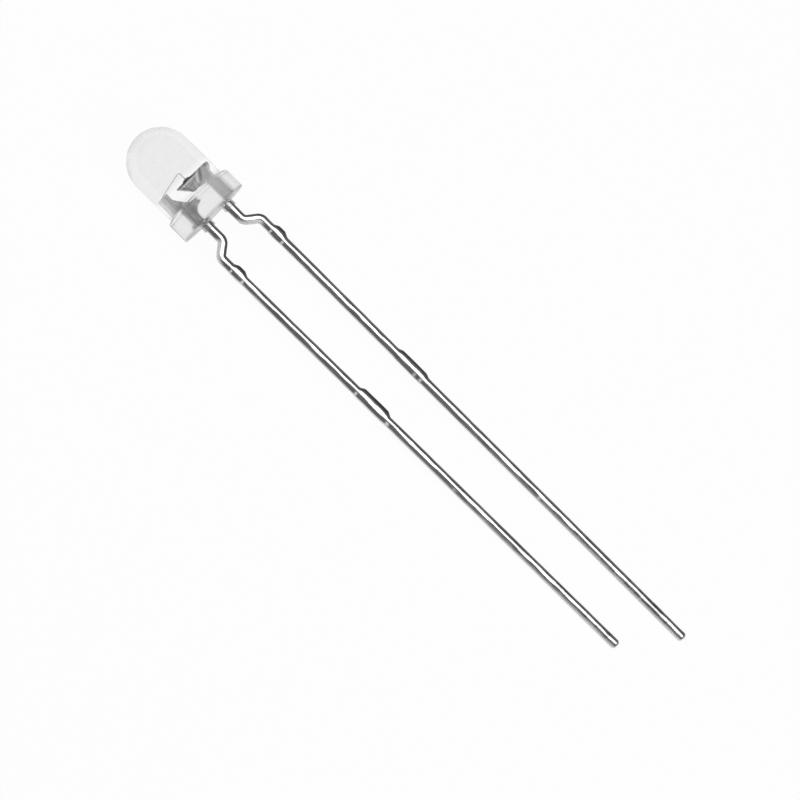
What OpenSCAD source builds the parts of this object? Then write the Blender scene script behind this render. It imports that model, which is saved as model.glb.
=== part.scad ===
// Water-clear 3 mm through-hole light-emitting diode, lying on its flange and its two lead tips.
// Inside the modules X runs from the casting's bottom face towards the lead tips, Y runs from the
// short lead to the long one, and Z is square to the lead frame. rest() then tips the whole part
// until it touches the ground at three points. Millimetres.

/* [Casting] */
// Diameter of the round body under the dome
body_d = 3.15; // [2.8:0.05:3.4]
// Height from the bottom face to the tip of the dome
body_h = 4.9; // [4.6:0.1:6]
// How far the flange stands out from the body
flange_out = 0.25; // [0.2:0.01:0.4]
// Height of the flange
flange_h = 1.08; // [0.8:0.02:1.3]
// Rounding of the flange's upper edge
flange_round = 0.17; // [0.1:0.01:0.2]
// Rounding in the corner between flange and body
shoulder_round = 0.07; // [0.03:0.01:0.1]
// Depth of the flat that marks the short lead's side of the flange
flat_depth = 0.09; // [0.05:0.01:0.15]
// Height of the collar of resin that climbs each lead
collar_h = 0.36; // [0.2:0.02:0.5]
// Thickness of that collar over the lead's corners, at its upper end
collar_wall = 0.03; // [0.02:0.01:0.06]
// Bevel at the collar's upper end
collar_bevel = 0.02; // [0.01:0.005:0.025]
// Radius of the hollow curve at the collar's foot
collar_round = 0.16; // [0.12:0.01:0.18]

/* [Leads] */
// Width of a lead, across the frame
lead_w = 0.46; // [0.4:0.01:0.52]
// Thickness of a lead
lead_t = 0.44; // [0.42:0.01:0.5]
// Corner rounding of a lead, with its tin coat
lead_round = 0.1; // [0.06:0.01:0.14]
// Distance between lead centres where they leave the casting
pitch_in = 1.3; // [1.2:0.02:1.4]
// Distance between lead centres after the kinks
pitch_out = 2.54; // [2.4:0.02:2.8]
// Sideways offset of the lead frame in the casting
frame_shift = 0.1; // [0:0.01:0.12]
// Length of the long lead below the casting
long_l = 28.4; // [20:0.1:30]
// How much shorter the short lead is
short_by = 1.9; // [1:0.1:3]
// Distance from the casting to the middle of the kinks
kink_mid = 1.38; // [1.2:0.02:1.6]
// Slope of the kinks
kink_angle = 52; // [45:1:60]
// Inner radius of the kinks' bends
bend_in = 0.1; // [0.06:0.01:0.14]
// Lean of the short lead towards the long one, in degrees
toe_in = 0.46; // [0:0.02:0.8]
// Radius of the rounded lead tips
tip_round = 0.5; // [0.4:0.01:0.8]

/* [Tie-bar stubs] */
// Distance from the casting to the stubs beside the kinks
near_stub_x = 2.3; // [2.1:0.05:2.6]
// Length of the stubs beside the kinks
near_stub_l = 0.7; // [0.5:0.05:0.9]
// How far the stubs beside the kinks stand out
near_stub_out = 0.12; // [0.08:0.01:0.16]
// Distance from the casting to the stubs further out
far_stub_x = 10.1; // [9.5:0.1:12]
// Length of the stubs further out
far_stub_l = 2; // [1.5:0.1:2.5]
// How far the further stub stands out on the short lead
far_stub_out = 0.13; // [0.08:0.01:0.16]
// The same on the long lead
far_stub_out_long = 0.09; // [0.06:0.01:0.16]
// What is left of each stub on the other side of its lead
stub_back = 0.02; // [0.01:0.01:0.04]
// Length of the sheared slope at each end of a stub
stub_slope = 0.1; // [0.05:0.01:0.2]

/* [Frame inside the casting] */
// Thickness of the stamped frame inside the casting
frame_t = 0.38; // [0.34:0.01:0.4]
// Length of full lead section inside the casting
root_l = 0.25; // [0.15:0.01:0.35]
// How far the stamped outline stays inside the lead's sides
frame_inset = 0.02; // [0.01:0.01:0.04]
// Height of the post's bond pad
post_h = 2.11; // [2:0.01:2.3]
// How far the post's pad reaches out from its lead's centre
pad_out = 0.47; // [0.45:0.01:0.6]
// Width of the pad
pad_w = 0.38; // [0.35:0.01:0.5]
// Height of the corner under the pad, on its inner side
knee_h = 1.72; // [1.6:0.01:1.8]
// Height of the post's outer lower corner
post_heel_h = 0.95; // [0.9:0.01:1.1]
// Width of the post's stem
post_stem_w = 0.3; // [0.25:0.01:0.4]
// How far the post's spur reaches in from its lead's centre
spur_reach = 0.54; // [0.45:0.01:0.56]
// Height of the spur's point
spur_h = 0.86; // [0.84:0.01:0.92]
// Height of the spur's shoulder
spur_top_h = 1.07; // [1:0.01:1.12]
// Distance of the shoulder behind the spur's point
spur_slope = 0.1; // [0.06:0.01:0.14]
// How far the notch above the spur reaches in from its lead's centre
notch_reach = 0.25; // [0.2:0.01:0.3]
// Height of the notch above the spur
notch_h = 1.03; // [0.98:0.01:1.06]
// Radius of the hollow under the spur
spur_hollow_r = 0.44; // [0.4:0.01:0.46]
// Height of that hollow's centre
spur_hollow_h = 0.36; // [0.33:0.01:0.4]

/* [Reflector cup] */
// Height of the cup's rim
cup_h = 1.91; // [1.8:0.01:2]
// Distance of the cup's axis from its lead's centre
cup_in = 0.61; // [0.55:0.01:0.65]
// Outer radius of the bowl at the rim
bowl_r = 0.43; // [0.4:0.01:0.46]
// Height of the bowl's outside cone
bowl_depth = 0.61; // [0.55:0.01:0.65]
// Radius of the bowl's rounded underside
bowl_tip_r = 0.13; // [0.12:0.01:0.16]
// Radius of the cup's mouth
mouth_r = 0.36; // [0.33:0.01:0.38]
// Radius of the cup's floor
floor_r = 0.21; // [0.2:0.01:0.24]
// Depth of the cup
cup_depth = 0.24; // [0.2:0.01:0.26]
// How far the head's top corner reaches out from its lead's centre
head_out = 0.24; // [0.2:0.01:0.3]
// Height of the corner's outer edge
head_edge_h = 0.17; // [0.1:0.01:0.25]
// Height of the head's waist below the rim, at its start
waist_top = 0.41; // [0.38:0.01:0.45]
// Height of the head's waist below the rim, at its end
waist_end = 0.73; // [0.65:0.01:0.8]
// Depth of the waist
waist_in = 0.12; // [0.08:0.01:0.16]
// Height of the head's underside below the rim, at the stem
head_depth = 0.74; // [0.7:0.01:0.8]

/* [Chip and wire] */
// Side of the square chip
chip_w = 0.26; // [0.2:0.01:0.27]
// Height of the chip
chip_h = 0.27; // [0.2:0.01:0.3]
// Radius of the chip's bond pad
chip_pad_r = 0.06; // [0.055:0.005:0.08]
// Height of the chip's bond pad
chip_pad_h = 0.01; // [0.005:0.005:0.02]
// Thickness of the conductive adhesive under the chip
glue_t = 0.03; // [0.02:0.005:0.04]
// How far the adhesive's top edge shows round the chip
glue_edge = 0.02; // [0.01:0.005:0.03]
// Gap between the adhesive and the cup's wall, at the floor
glue_gap = 0.015; // [0.01:0.005:0.02]
// Diameter of the bond wire
wire_d = 0.03; // [0.025:0.005:0.04]
// Radius of the wire's squeezed ball on the chip
ball_r = 0.05; // [0.04:0.005:0.055]
// Height of that ball
ball_h = 0.03; // [0.02:0.005:0.04]
// Height of the wire's loop above the higher of its two ends
loop_h = 0.26; // [0.2:0.01:0.3]
// Radius of the bend at the top of the loop
loop_r = 0.07; // [0.05:0.01:0.1]
// Distance of the wire's end from the inner edge of the post's pad
stitch_in = 0.14; // [0.1:0.01:0.2]
// Length of the wire's stitch on the pad
stitch_l = 0.1; // [0.06:0.01:0.14]
// Width of the stitch
stitch_w = 0.06; // [0.05:0.01:0.08]
// Thickness of the stitch
stitch_t = 0.02; // [0.015:0.005:0.025]

/* [Hidden] */
$fn = 64;

// Overshoot of a cutting shape past the face that it cuts
over = 0.05;

body_r = body_d / 2;
flange_r = body_r + flange_out;
dome_h = body_h - body_r;

long_y = pitch_in / 2 + frame_shift;
short_y = frame_shift - pitch_in / 2;
short_l = long_l - short_by;

// The kink shifts a lead by kink_shift with two bends and a slanted run between them
bend_r = bend_in + lead_w / 2;
kink_shift = (pitch_out - pitch_in) / 2;
kink_slant = (kink_shift - 2 * bend_r * (1 - cos(kink_angle))) / sin(kink_angle);
kink_l = 2 * bend_r * sin(kink_angle) + kink_slant * cos(kink_angle);
kink_start = kink_mid - kink_l / 2;
kink_end = kink_mid + kink_l / 2;

// Half the diagonal of a lead's rounded section
lead_corner_r = norm([lead_w / 2 - lead_round, lead_t / 2 - lead_round]) + lead_round;
collar_top_r = lead_corner_r + collar_wall;
// The hollow curve's centre lies this much lower than its radius, so that it meets the face at an angle
collar_sink = 0.02;

// Heights in the cup, and the outline of its head
cup_y = long_y - cup_in;
cup_floor_h = cup_h - cup_depth;
chip_base_h = cup_floor_h + glue_t;
chip_top_h = chip_base_h + chip_h + chip_pad_h;
bowl_end_r = bowl_tip_r * 0.8;
bowl_tip_h = cup_h - bowl_depth + bowl_tip_r * 0.6;
mouth_slope = (mouth_r - floor_r) / cup_depth;
stem_half_w = lead_w / 2 - frame_inset;

// The wire rises from the chip, bends by wire_turn at the top of its loop, and falls in a straight
// line to its end on the post's pad
loop_top_h = max(chip_top_h, post_h) + loop_h;
wire_r = wire_d / 2;
// The bend is this much thicker than the straight lengths, whose ends sit inside it by wire_lap
bend_swell = 0.0005;
wire_lap = 0.004;
// Height of the wire's underside over the pad, inside the stitch
wire_lift = 0.003;
pad_inner_y = short_y - pad_out + pad_w;
wire_end_y = pad_inner_y - stitch_in;
wire_end_h = post_h + wire_r + wire_lift;
fall_h = loop_top_h - loop_r - wire_end_h;
fall_w = cup_y - loop_r - wire_end_y;
fall_reach = norm([fall_h, fall_w]);
wire_fall = atan2(fall_h, fall_w) + asin(loop_r / fall_reach);
wire_turn = 90 + wire_fall;
wire_run = sqrt(fall_reach * fall_reach - loop_r * loop_r);

// The ground touches the flange's rim and the lower corner of each lead tip. In the frame of the
// modules it is the plane z = const + ground_x * x + ground_y * y, found from those three points.
half_t = lead_t / 2;
tip_flat = lead_w / 2 - lead_round;
long_tip_y = frame_shift + pitch_out / 2 - tip_flat;
short_tip_y = frame_shift - pitch_out / 2 + (short_l - kink_end) * tan(toe_in) - tip_flat;
tip_skew = (long_l - short_l) / (long_tip_y - short_tip_y);
tip_arm = long_l - tip_skew * long_tip_y;
ground_a = tip_arm * tip_arm - flange_r * flange_r * tip_skew * tip_skew;
ground_b = tip_arm * half_t;
ground_c = flange_r * flange_r - half_t * half_t;
ground_x = (sqrt(ground_b * ground_b + ground_a * ground_c) - ground_b) / ground_a;
ground_y = -ground_x * tip_skew;
rest_roll = atan(-ground_y);
rest_tilt = atan(ground_x / sqrt(1 + ground_y * ground_y));
rest_h = flange_r * sqrt(1 + ground_y * ground_y) / norm([1, ground_x, ground_y]);
// The part's origin is under the middle of its length
rest_back = (long_l * cos(rest_tilt) + half_t * sin(rest_tilt) - dome_h * cos(rest_tilt) - body_r) / 2;

// Stands a shape drawn with its height along Z so that its height runs along -X, from the bottom face
module upright() {
    rotate([0, -90, 0])
        children();
}

// Lays a shape drawn with X as the place across the frame and Y as the height into the frame's plane
module in_frame() {
    rotate([0, 0, 90])
        children();
}

// Extrudes an outline drawn as [place across the frame, height] to the frame's thickness
module stamped() {
    in_frame()
        linear_extrude(height = frame_t, center = true)
            children();
}

// Tips the part onto its flange and lead tips
module rest() {
    translate([-rest_back, 0, rest_h])
        rotate([rest_roll, rest_tilt, 0])
            children();
}

module lead_section() {
    square([lead_w - 2 * lead_round, lead_t], center = true);
    square([lead_w, lead_t - 2 * lead_round], center = true);
    for (side_y = [-1, 1], side_z = [-1, 1])
        translate([side_y * (lead_w / 2 - lead_round), side_z * (lead_t / 2 - lead_round)])
            circle(r = lead_round);
}

// A straight length of lead along +X, with its children at its end
module run(length) {
    rotate([90, 0, 90])
        linear_extrude(height = length)
            lead_section();
    translate([length, 0, 0])
        children();
}

// A bend of the lead that starts along +X and turns by angle, positive to +Y, with its children at its end
module turn(radius, angle) {
    side = sign(angle);
    translate([0, side * radius, 0])
        rotate([0, 0, side > 0 ? -90 : 90 - abs(angle)])
            rotate_extrude(angle = abs(angle))
                translate([radius, 0])
                    lead_section();
    translate([0, side * radius, 0])
        rotate([0, 0, angle])
            translate([0, -side * radius, 0])
                children();
}

// The last length of a lead, with a rounded end
module lead_tip(length) {
    run(length - tip_round)
        intersection() {
            run(2 * tip_round);
            sphere(r = tip_round);
        }
}

// What is left of a tie bar after it is sheared off, from start along +X
module stub(start, length, out) {
    outer = lead_w / 2 + out;
    back = -lead_w / 2 - stub_back;
    linear_extrude(height = frame_t, center = true)
        polygon([
            [start + stub_slope, back],
            [start + length - stub_slope, back],
            [start + length, back + stub_slope],
            [start + length, lead_w / 2 - over],
            [start + length - stub_slope, outer],
            [start + stub_slope, outer],
            [start, lead_w / 2 - over],
            [start, back + stub_slope]
        ]);
}

// A lead from its root in the casting to its tip; side is 1 for the long lead and -1 for the short one
module leg(side, length, lean, stub_out) {
    translate([-root_l, side > 0 ? long_y : short_y, 0])
        run(root_l + kink_start)
            turn(bend_r, side * kink_angle)
                run(kink_slant)
                    turn(bend_r, lean - side * kink_angle) {
                        stub(near_stub_x - kink_end, near_stub_l, near_stub_out);
                        stub(far_stub_x - kink_end, far_stub_l, stub_out);
                        lead_tip(length - kink_end);
                    }
}

// Outline of the post: pad, flag, pointed spur and stem
module post_outline() {
    pad_outer_y = short_y - pad_out;
    stem_in_y = short_y + stem_half_w;
    spur_y = short_y + spur_reach;
    difference() {
        polygon([
            [pad_outer_y, post_h],
            [pad_inner_y, post_h],
            [pad_inner_y, knee_h],
            [short_y + notch_reach, notch_h],
            [spur_y - spur_slope, spur_top_h],
            [spur_y, spur_h],
            [stem_in_y, spur_hollow_h],
            [stem_in_y, 0],
            [stem_in_y - post_stem_w, 0],
            [stem_in_y - post_stem_w, post_heel_h],
            [pad_outer_y, post_heel_h]
        ]);
        translate([stem_in_y + spur_hollow_r, spur_hollow_h])
            circle(r = spur_hollow_r);
    }
}

// Outline of the cup lead's head and stem
module head_outline() {
    polygon([
        [cup_y - bowl_r + over, cup_h],
        [long_y + head_out, cup_h],
        [long_y + head_out, cup_h - head_edge_h],
        [long_y + stem_half_w - waist_in, cup_h - waist_top],
        [long_y + stem_half_w - waist_in, cup_h - waist_end],
        [long_y + stem_half_w, cup_h - waist_end - waist_in],
        [long_y + stem_half_w, 0],
        [long_y - stem_half_w, 0],
        [long_y - stem_half_w, cup_h - head_depth],
        [cup_y, cup_h - bowl_depth]
    ]);
}

// The stamped bowl: a cone with a rounded underside
module bowl() {
    translate([0, cup_y, 0])
        upright() {
            translate([0, 0, cup_h - bowl_depth])
                cylinder(h = bowl_depth, r1 = bowl_end_r, r2 = bowl_r);
            translate([0, 0, bowl_tip_h])
                sphere(r = bowl_tip_r);
        }
}

// The cup's tapered hollow, cut a little past the rim
module cup_hollow() {
    cut_h = cup_depth + over;
    translate([0, cup_y, 0])
        upright()
            translate([0, 0, cup_floor_h])
                cylinder(h = cut_h, r1 = floor_r, r2 = floor_r + mouth_slope * cut_h);
}

module cup_lead_shape() {
    difference() {
        union() {
            leg(1, long_l, 0, far_stub_out_long);
            stamped()
                head_outline();
            bowl();
        }
        cup_hollow();
    }
}

module post_lead_shape() {
    leg(-1, short_l, toe_in, far_stub_out);
    stamped()
        post_outline();
}

module die_attach_shape() {
    translate([0, cup_y, 0])
        upright()
            translate([0, 0, cup_floor_h])
                cylinder(h = glue_t, r1 = floor_r - glue_gap, r2 = chip_w / 2 + glue_edge);
}

module led_chip_shape() {
    translate([0, cup_y, 0])
        upright() {
            translate([-chip_w / 2, -chip_w / 2, chip_base_h])
                cube([chip_w, chip_w, chip_h]);
            translate([0, 0, chip_base_h])
                cylinder(h = chip_h + chip_pad_h, r = chip_pad_r);
        }
}

module bond_wire_shape() {
    in_frame() {
        translate([cup_y, chip_top_h, 0])
            rotate([-90, 0, 0])
                wire_ball();
        translate([cup_y - loop_r, loop_top_h - loop_r, 0]) {
            rotate_extrude(angle = wire_turn)
                translate([loop_r, 0])
                    circle(r = wire_r + bend_swell);
            rotate([0, 0, wire_turn])
                translate([loop_r, -wire_lap, 0])
                    rotate([-90, 0, 0])
                        cylinder(h = wire_run + wire_lap, r = wire_r);
        }
        translate([wire_end_y, post_h, 0])
            rotate([-90, 0, 0])
                linear_extrude(height = stitch_t)
                    stitch_outline();
    }
}

// The squeezed ball on the chip's pad, with the straight riser out of it
module wire_ball() {
    riser_h = loop_top_h - loop_r - chip_top_h;
    intersection() {
        translate([0, 0, ball_h / 2])
            sphere(r = ball_r);
        cylinder(h = ball_h, r = 2 * ball_r);
    }
    translate([0, 0, ball_h / 2])
        cylinder(h = riser_h - ball_h / 2 + wire_lap, r = wire_r);
}

// The wire's flattened end, which fans out towards its cut edge
module stitch_outline() {
    polygon([
        [wire_d, -wire_r],
        [wire_d, wire_r],
        [wire_d - stitch_l, stitch_w / 2],
        [wire_d - stitch_l, -stitch_w / 2]
    ]);
}

// Outside of the casting: dome, body, flange with its flat, and a collar round each lead
module casting() {
    upright() {
        difference() {
            rotate_extrude()
                casting_profile();
            translate([-flange_r, -flange_r - over, -over])
                cube([2 * flange_r, flat_depth + over, flange_h + shoulder_round + 2 * over]);
        }
        for (lead_y = [long_y, short_y])
            translate([0, lead_y, 0])
                rotate([180, 0, 0])
                    rotate_extrude()
                        collar_profile();
    }
}

module casting_profile() {
    square([body_r, dome_h]);
    intersection() {
        translate([0, dome_h])
            circle(r = body_r);
        translate([0, dome_h])
            square([body_r, body_r]);
    }
    square([flange_r, flange_h - flange_round]);
    square([flange_r - flange_round, flange_h]);
    translate([flange_r - flange_round, flange_h - flange_round])
        circle(r = flange_round);
    difference() {
        square([body_r + shoulder_round, flange_h + shoulder_round]);
        translate([body_r + shoulder_round, flange_h + shoulder_round])
            circle(r = shoulder_round);
    }
}

// The resin collar round a lead: hollow foot, straight wall and bevelled end
module collar_profile() {
    foot_h = collar_round - collar_sink;
    polygon([
        [0, -over],
        [collar_top_r, -over],
        [collar_top_r, collar_h - collar_bevel],
        [collar_top_r - collar_bevel, collar_h],
        [0, collar_h]
    ]);
    difference() {
        translate([0, -over])
            square([collar_top_r + collar_round, foot_h + over]);
        translate([collar_top_r + collar_round, foot_h])
            circle(r = collar_round);
    }
}

module lens() {
    color([0.93, 0.94, 0.95, 0.45])
        rest()
            difference() {
                casting();
                cup_lead_shape();
                post_lead_shape();
                die_attach_shape();
                led_chip_shape();
                bond_wire_shape();
            }
}

module cup_lead() {
    color([0.75, 0.76, 0.77])
        rest()
            cup_lead_shape();
}

module post_lead() {
    color([0.72, 0.73, 0.74])
        rest()
            post_lead_shape();
}

module die_attach() {
    color([0.6, 0.6, 0.62])
        rest()
            die_attach_shape();
}

module led_chip() {
    color([0.2, 0.2, 0.22])
        rest()
            led_chip_shape();
}

module bond_wire() {
    color([0.78, 0.78, 0.77])
        rest()
            bond_wire_shape();
}

lens();
cup_lead();
post_lead();
die_attach();
led_chip();
bond_wire();
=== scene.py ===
import math

import bmesh
import bpy
from mathutils import Matrix, Vector, noise


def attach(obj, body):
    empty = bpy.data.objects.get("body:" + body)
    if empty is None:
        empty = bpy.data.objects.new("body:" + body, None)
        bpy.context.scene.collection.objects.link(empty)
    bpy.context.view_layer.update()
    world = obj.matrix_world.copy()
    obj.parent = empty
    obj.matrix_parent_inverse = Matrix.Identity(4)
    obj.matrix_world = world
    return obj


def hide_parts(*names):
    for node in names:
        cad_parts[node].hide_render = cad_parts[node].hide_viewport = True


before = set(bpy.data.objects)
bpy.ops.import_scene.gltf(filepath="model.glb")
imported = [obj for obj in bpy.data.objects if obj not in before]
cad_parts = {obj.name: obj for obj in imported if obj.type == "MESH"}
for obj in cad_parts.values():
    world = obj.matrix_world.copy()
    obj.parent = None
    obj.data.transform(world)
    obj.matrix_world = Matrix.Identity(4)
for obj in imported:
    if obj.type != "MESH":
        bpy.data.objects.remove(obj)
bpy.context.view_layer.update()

# Water-clear 3 mm light-emitting diode, lying on its flange and its two lead tips. Pieces are drawn
# in millimetres in the diode's own frame: X from the casting's bottom face towards the lead tips,
# Y from the short lead to the long one, Z square to the lead frame. REST then lays them down.

# Casting
BODY_R = 1.575
BODY_H = 4.9
DOME_H = BODY_H - BODY_R
FLANGE_R = BODY_R + 0.25
FLANGE_H = 1.08
FLANGE_ROUND = 0.17
SHOULDER_ROUND = 0.07
FOOT_BEVEL = 0.02
FLAT_Y = 0.09 - FLANGE_R

# Leads: their section, where they run, and their kinks
LEAD_W = 0.46
LEAD_T = 0.44
LEAD_CORNER = 0.1
LEAD_CROWN = 2.5
CROWN_OFF_MIDDLE = 0.2
TIN_WAVE = 0.008
TIN_WAVES_ALONG = 1.7
TIN_WAVES_ROUND = 1.3
TIN_WAVES_SHIFT = 9
TIN_SINK = 0.75
FRAME_SHIFT = 0.1
PITCH_IN = 1.3
PITCH_OUT = 2.54
LONG_Y_IN = FRAME_SHIFT + PITCH_IN / 2
SHORT_Y_IN = FRAME_SHIFT - PITCH_IN / 2
LONG_Y_OUT = FRAME_SHIFT + PITCH_OUT / 2
SHORT_Y_OUT = FRAME_SHIFT - PITCH_OUT / 2
LONG_L = 28.4
SHORT_L = LONG_L - 1.9
ROOT_L = 0.25
KINK_MID = 1.38
KINK_ANGLE = math.radians(52)
BEND_R = 0.1 + LEAD_W / 2
TOE_IN = math.radians(0.46)
TIP_ROUND = 0.17

# Tie-bar stubs: where they start and end along a lead, and how far they stand out
NEAR_STUB = (2.2, 3.12)
FAR_STUB = (10.1, 12.1)
NEAR_STUB_OUT = 0.12
FAR_STUB_OUT_SHORT = 0.13
FAR_STUB_OUT_LONG = 0.09
STUB_BACK = 0.02
STUB_SLOPE = 0.32
STUB_FROM = 0.35
STUB_ROUNDING = 0.6

# Resin collars on the leads
COLLAR_H = 0.36
COLLAR_R = math.hypot(LEAD_W / 2 - LEAD_CORNER, LEAD_T / 2 - LEAD_CORNER) + LEAD_CORNER + 0.03
COLLAR_ROUND = 0.16
COLLAR_SINK = 0.02
COLLAR_EDGE = 0.05
COLLAR_ROOT = 0.06

# Places along each lead where its -Y side is painted pale, partly scuffing and partly painted highlights
# where the side turns at a kink or a stub's end: distance from the casting and half length
LONG_SCUFFS_AND_HIGHLIGHTS = ((1.5, 0.38), (2.35, 0.05), (3.08, 0.07), (11.42, 0.06), (11.85, 0.08), (19.3, 0.07))
SHORT_SCUFFS_AND_HIGHLIGHTS = ((1.36, 0.36), (2.37, 0.05), (3.07, 0.07), (10.2, 0.07), (12.15, 0.1), (16.4, 0.06))
# Towards the tips: where the rubbed dashes and the painted light on the -Y side start, and where that
# painted light is full
TIP_MARKS_START = 13.0
TIP_LIGHT_FULL = 25.0

# Post inside the casting: heights from the bottom face, and places across from its lead's centre
FRAME_T = 0.38
PUNCH_EDGE = 0.02
STEM_HALF_W = LEAD_W / 2 - 0.02
STEM_FOOT_H = -0.1
STEM_IN_Y = SHORT_Y_IN + STEM_HALF_W
STEM_OUT_Y = STEM_IN_Y - 0.3
POST_H = 2.11
POST_HEEL_H = 0.95
PAD_OUTER_Y = SHORT_Y_IN - 0.47
PAD_INNER_Y = PAD_OUTER_Y + 0.38
KNEE_H = 1.72
NOTCH_Y = SHORT_Y_IN + 0.25
NOTCH_H = 1.03
SPUR_Y = SHORT_Y_IN + 0.54
SPUR_H = 0.86
SPUR_TOP_Y = SPUR_Y - 0.1
SPUR_TOP_H = 1.07
SPUR_HOLLOW_R = 0.44
SPUR_HOLLOW_H = 0.36

# Head of the long lead, and its cup
CUP_Y = LONG_Y_IN - 0.61
CUP_H = 1.91
CUP_FLOOR_H = CUP_H - 0.24
CUP_MOUTH_R = 0.36
CUP_FLOOR_R = 0.21
BOWL_R = 0.43
BOWL_DEPTH = 0.61
BOWL_TIP_R = 0.13
BOWL_TIP_RISE = 0.6
HEAD_OVERLAP = 0.05
HEAD_OUTER_Y = LONG_Y_IN + 0.24
HEAD_EDGE_H = CUP_H - 0.17
WAIST_DEPTH = 0.12
WAIST_TOP_H = CUP_H - 0.41
WAIST_END_H = CUP_H - 0.73
HEAD_UNDER_H = CUP_H - 0.74

# Chip and wire
CHIP_W = 0.26
CHIP_BASE_H = CUP_FLOOR_H + 0.03
CHIP_TOP_H = CHIP_BASE_H + 0.27
CHIP_PAD_R = 0.06
CHIP_PAD_H = 0.01
CHIP_PAD_SINK = 0.002
CHIP_ETCH_H = 0.05
CHIP_LEDGE_H = 0.01
CHIP_LEDGE_W = 0.015
CHIP_TAPER_W = 0.02
WIRE_R = 0.015
WIRE_LIFT = 0.003
BALL_R = 0.05
BALL_H = 0.03
BALL_TOP = 0.75
LOOP_TOP_H = max(CHIP_TOP_H + CHIP_PAD_H, POST_H) + 0.26
LOOP_R = 0.07
LOOP_EASE = 0.05
WIRE_END_Y = PAD_INNER_Y - 0.14
STITCH_L = 0.1
STITCH_W = 0.06
STITCH_T = 0.02
STITCH_THINNING = 0.6

# How far the casting's skin and the lead tips stay inside the solids
SKIN = 0.003

# How fine the meshes are: the stations along a lead, in number or in millimetres apart, and sides
KINK_STEPS = 12
PLAIN_STEP = 0.12
FINE_STEP = 0.04
FINE_REACH = 0.25
TIP_GAP = 0.05
TIP_STEPS = 8
LEAD_SIDES = 48
BODY_STEPS = 12
FALL_STEPS = 6
WIRE_SIDES = 16
TINY = 1e-6


# Laying the diode down

def resting_matrix():
    """Tips the diode until its flange and both lead tips touch the ground."""
    half_t = LEAD_T / 2
    tip_flat = LEAD_W / 2 - LEAD_CORNER
    kink_end = KINK_MID + kink_length() / 2
    long_tip_y = LONG_Y_OUT - tip_flat
    short_tip_y = SHORT_Y_OUT + (SHORT_L - kink_end) * math.tan(TOE_IN) - tip_flat
    skew = (LONG_L - SHORT_L) / (long_tip_y - short_tip_y)
    arm = LONG_L - skew * long_tip_y
    a = arm * arm - (FLANGE_R * skew) ** 2
    b = arm * half_t
    c = FLANGE_R ** 2 - half_t ** 2
    slope_x = (math.sqrt(b * b + a * c) - b) / a
    slope_y = -slope_x * skew
    roll = math.atan(-slope_y)
    tilt = math.atan(slope_x / math.hypot(1, slope_y))
    height = FLANGE_R * math.hypot(1, slope_y) / math.sqrt(1 + slope_x ** 2 + slope_y ** 2)
    back = ((LONG_L - DOME_H) * math.cos(tilt) + half_t * math.sin(tilt) - BODY_R) / 2
    lay = Matrix.Rotation(tilt, 4, "Y") @ Matrix.Rotation(roll, 4, "X")
    return Matrix.Translation((-back, 0, height)) @ lay


def kink_length():
    """Length along X of a lead's kink: two bends and the slanted run between them."""
    shift = LONG_Y_OUT - LONG_Y_IN
    slant = (shift - 2 * BEND_R * (1 - math.cos(KINK_ANGLE))) / math.sin(KINK_ANGLE)
    return 2 * BEND_R * math.sin(KINK_ANGLE) + slant * math.cos(KINK_ANGLE)


REST = resting_matrix()
MM = 0.001


def placed(x, y, z):
    """A point of the diode's own frame, in metres, where it lies."""
    return (REST @ Vector((x, y, z))) * MM


# Mesh helpers

def mesh_object(name, mesh_from):
    mesh = bpy.data.meshes.new(name)
    mesh_from.to_mesh(mesh)
    mesh_from.free()
    thing = bpy.data.objects.new(name, mesh)
    bpy.context.scene.collection.objects.link(thing)
    return thing


def lathe(name, profile, y_axis, steps):
    """Turns a closed profile of (radius, height) round the line at y_axis, with its height along -X."""
    made = bmesh.new()
    rings = []
    for radius, height in profile:
        if radius < TINY:
            rings.append([made.verts.new((-height, y_axis, 0))])
            continue
        ring = []
        for k in range(steps):
            t = 2 * math.pi * k / steps
            ring.append(made.verts.new((-height, y_axis + radius * math.cos(t), radius * math.sin(t))))
        rings.append(ring)
    for ring, following in zip(rings, rings[1:]):
        for k in range(steps):
            corners = [ring[k % len(ring)], ring[(k + 1) % len(ring)]]
            corners += [following[(k + 1) % len(following)], following[k % len(following)]]
            corners = list(dict.fromkeys(corners))
            if len(corners) > 2:
                made.faces.new(corners)
    bmesh.ops.recalc_face_normals(made, faces=made.faces)
    return mesh_object(name, made)


def arc(centre, radius, start, end, steps):
    """Points of an arc in degrees, as (radius, height) or (across, height) pairs."""
    turns = [math.radians(start + (end - start) * k / steps) for k in range(steps + 1)]
    return [(centre[0] + radius * math.cos(t), centre[1] + radius * math.sin(t)) for t in turns]


def plate(name, outline):
    """A stamped plate: an outline of (across, height) points, with its edges eased by the punch."""
    made = bmesh.new()
    base = made.faces.new([made.verts.new((-h, y, -FRAME_T / 2)) for y, h in outline])
    grown = bmesh.ops.extrude_face_region(made, geom=[base])
    moved = [v for v in grown["geom"] if isinstance(v, bmesh.types.BMVert)]
    bmesh.ops.translate(made, verts=moved, vec=(0, 0, FRAME_T))
    bmesh.ops.recalc_face_normals(made, faces=made.faces)
    rims = [e for e in made.edges if abs(e.verts[0].co.z - e.verts[1].co.z) < TINY]
    bmesh.ops.bevel(made, geom=rims, offset=PUNCH_EDGE, segments=3, profile=0.5, affect="EDGES")
    return mesh_object(name, made)


def combine(first, others, operation):
    """Joins or cuts solids into the first one, which keeps its name."""
    for other in others:
        change = first.modifiers.new(other.name, "BOOLEAN")
        change.operation = operation
        change.solver = "EXACT"
        change.object = other
        seen = first.evaluated_get(bpy.context.evaluated_depsgraph_get())
        result = bpy.data.meshes.new_from_object(seen)
        first.modifiers.clear()
        first.data = result
        bpy.data.objects.remove(other)
    return first


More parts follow.
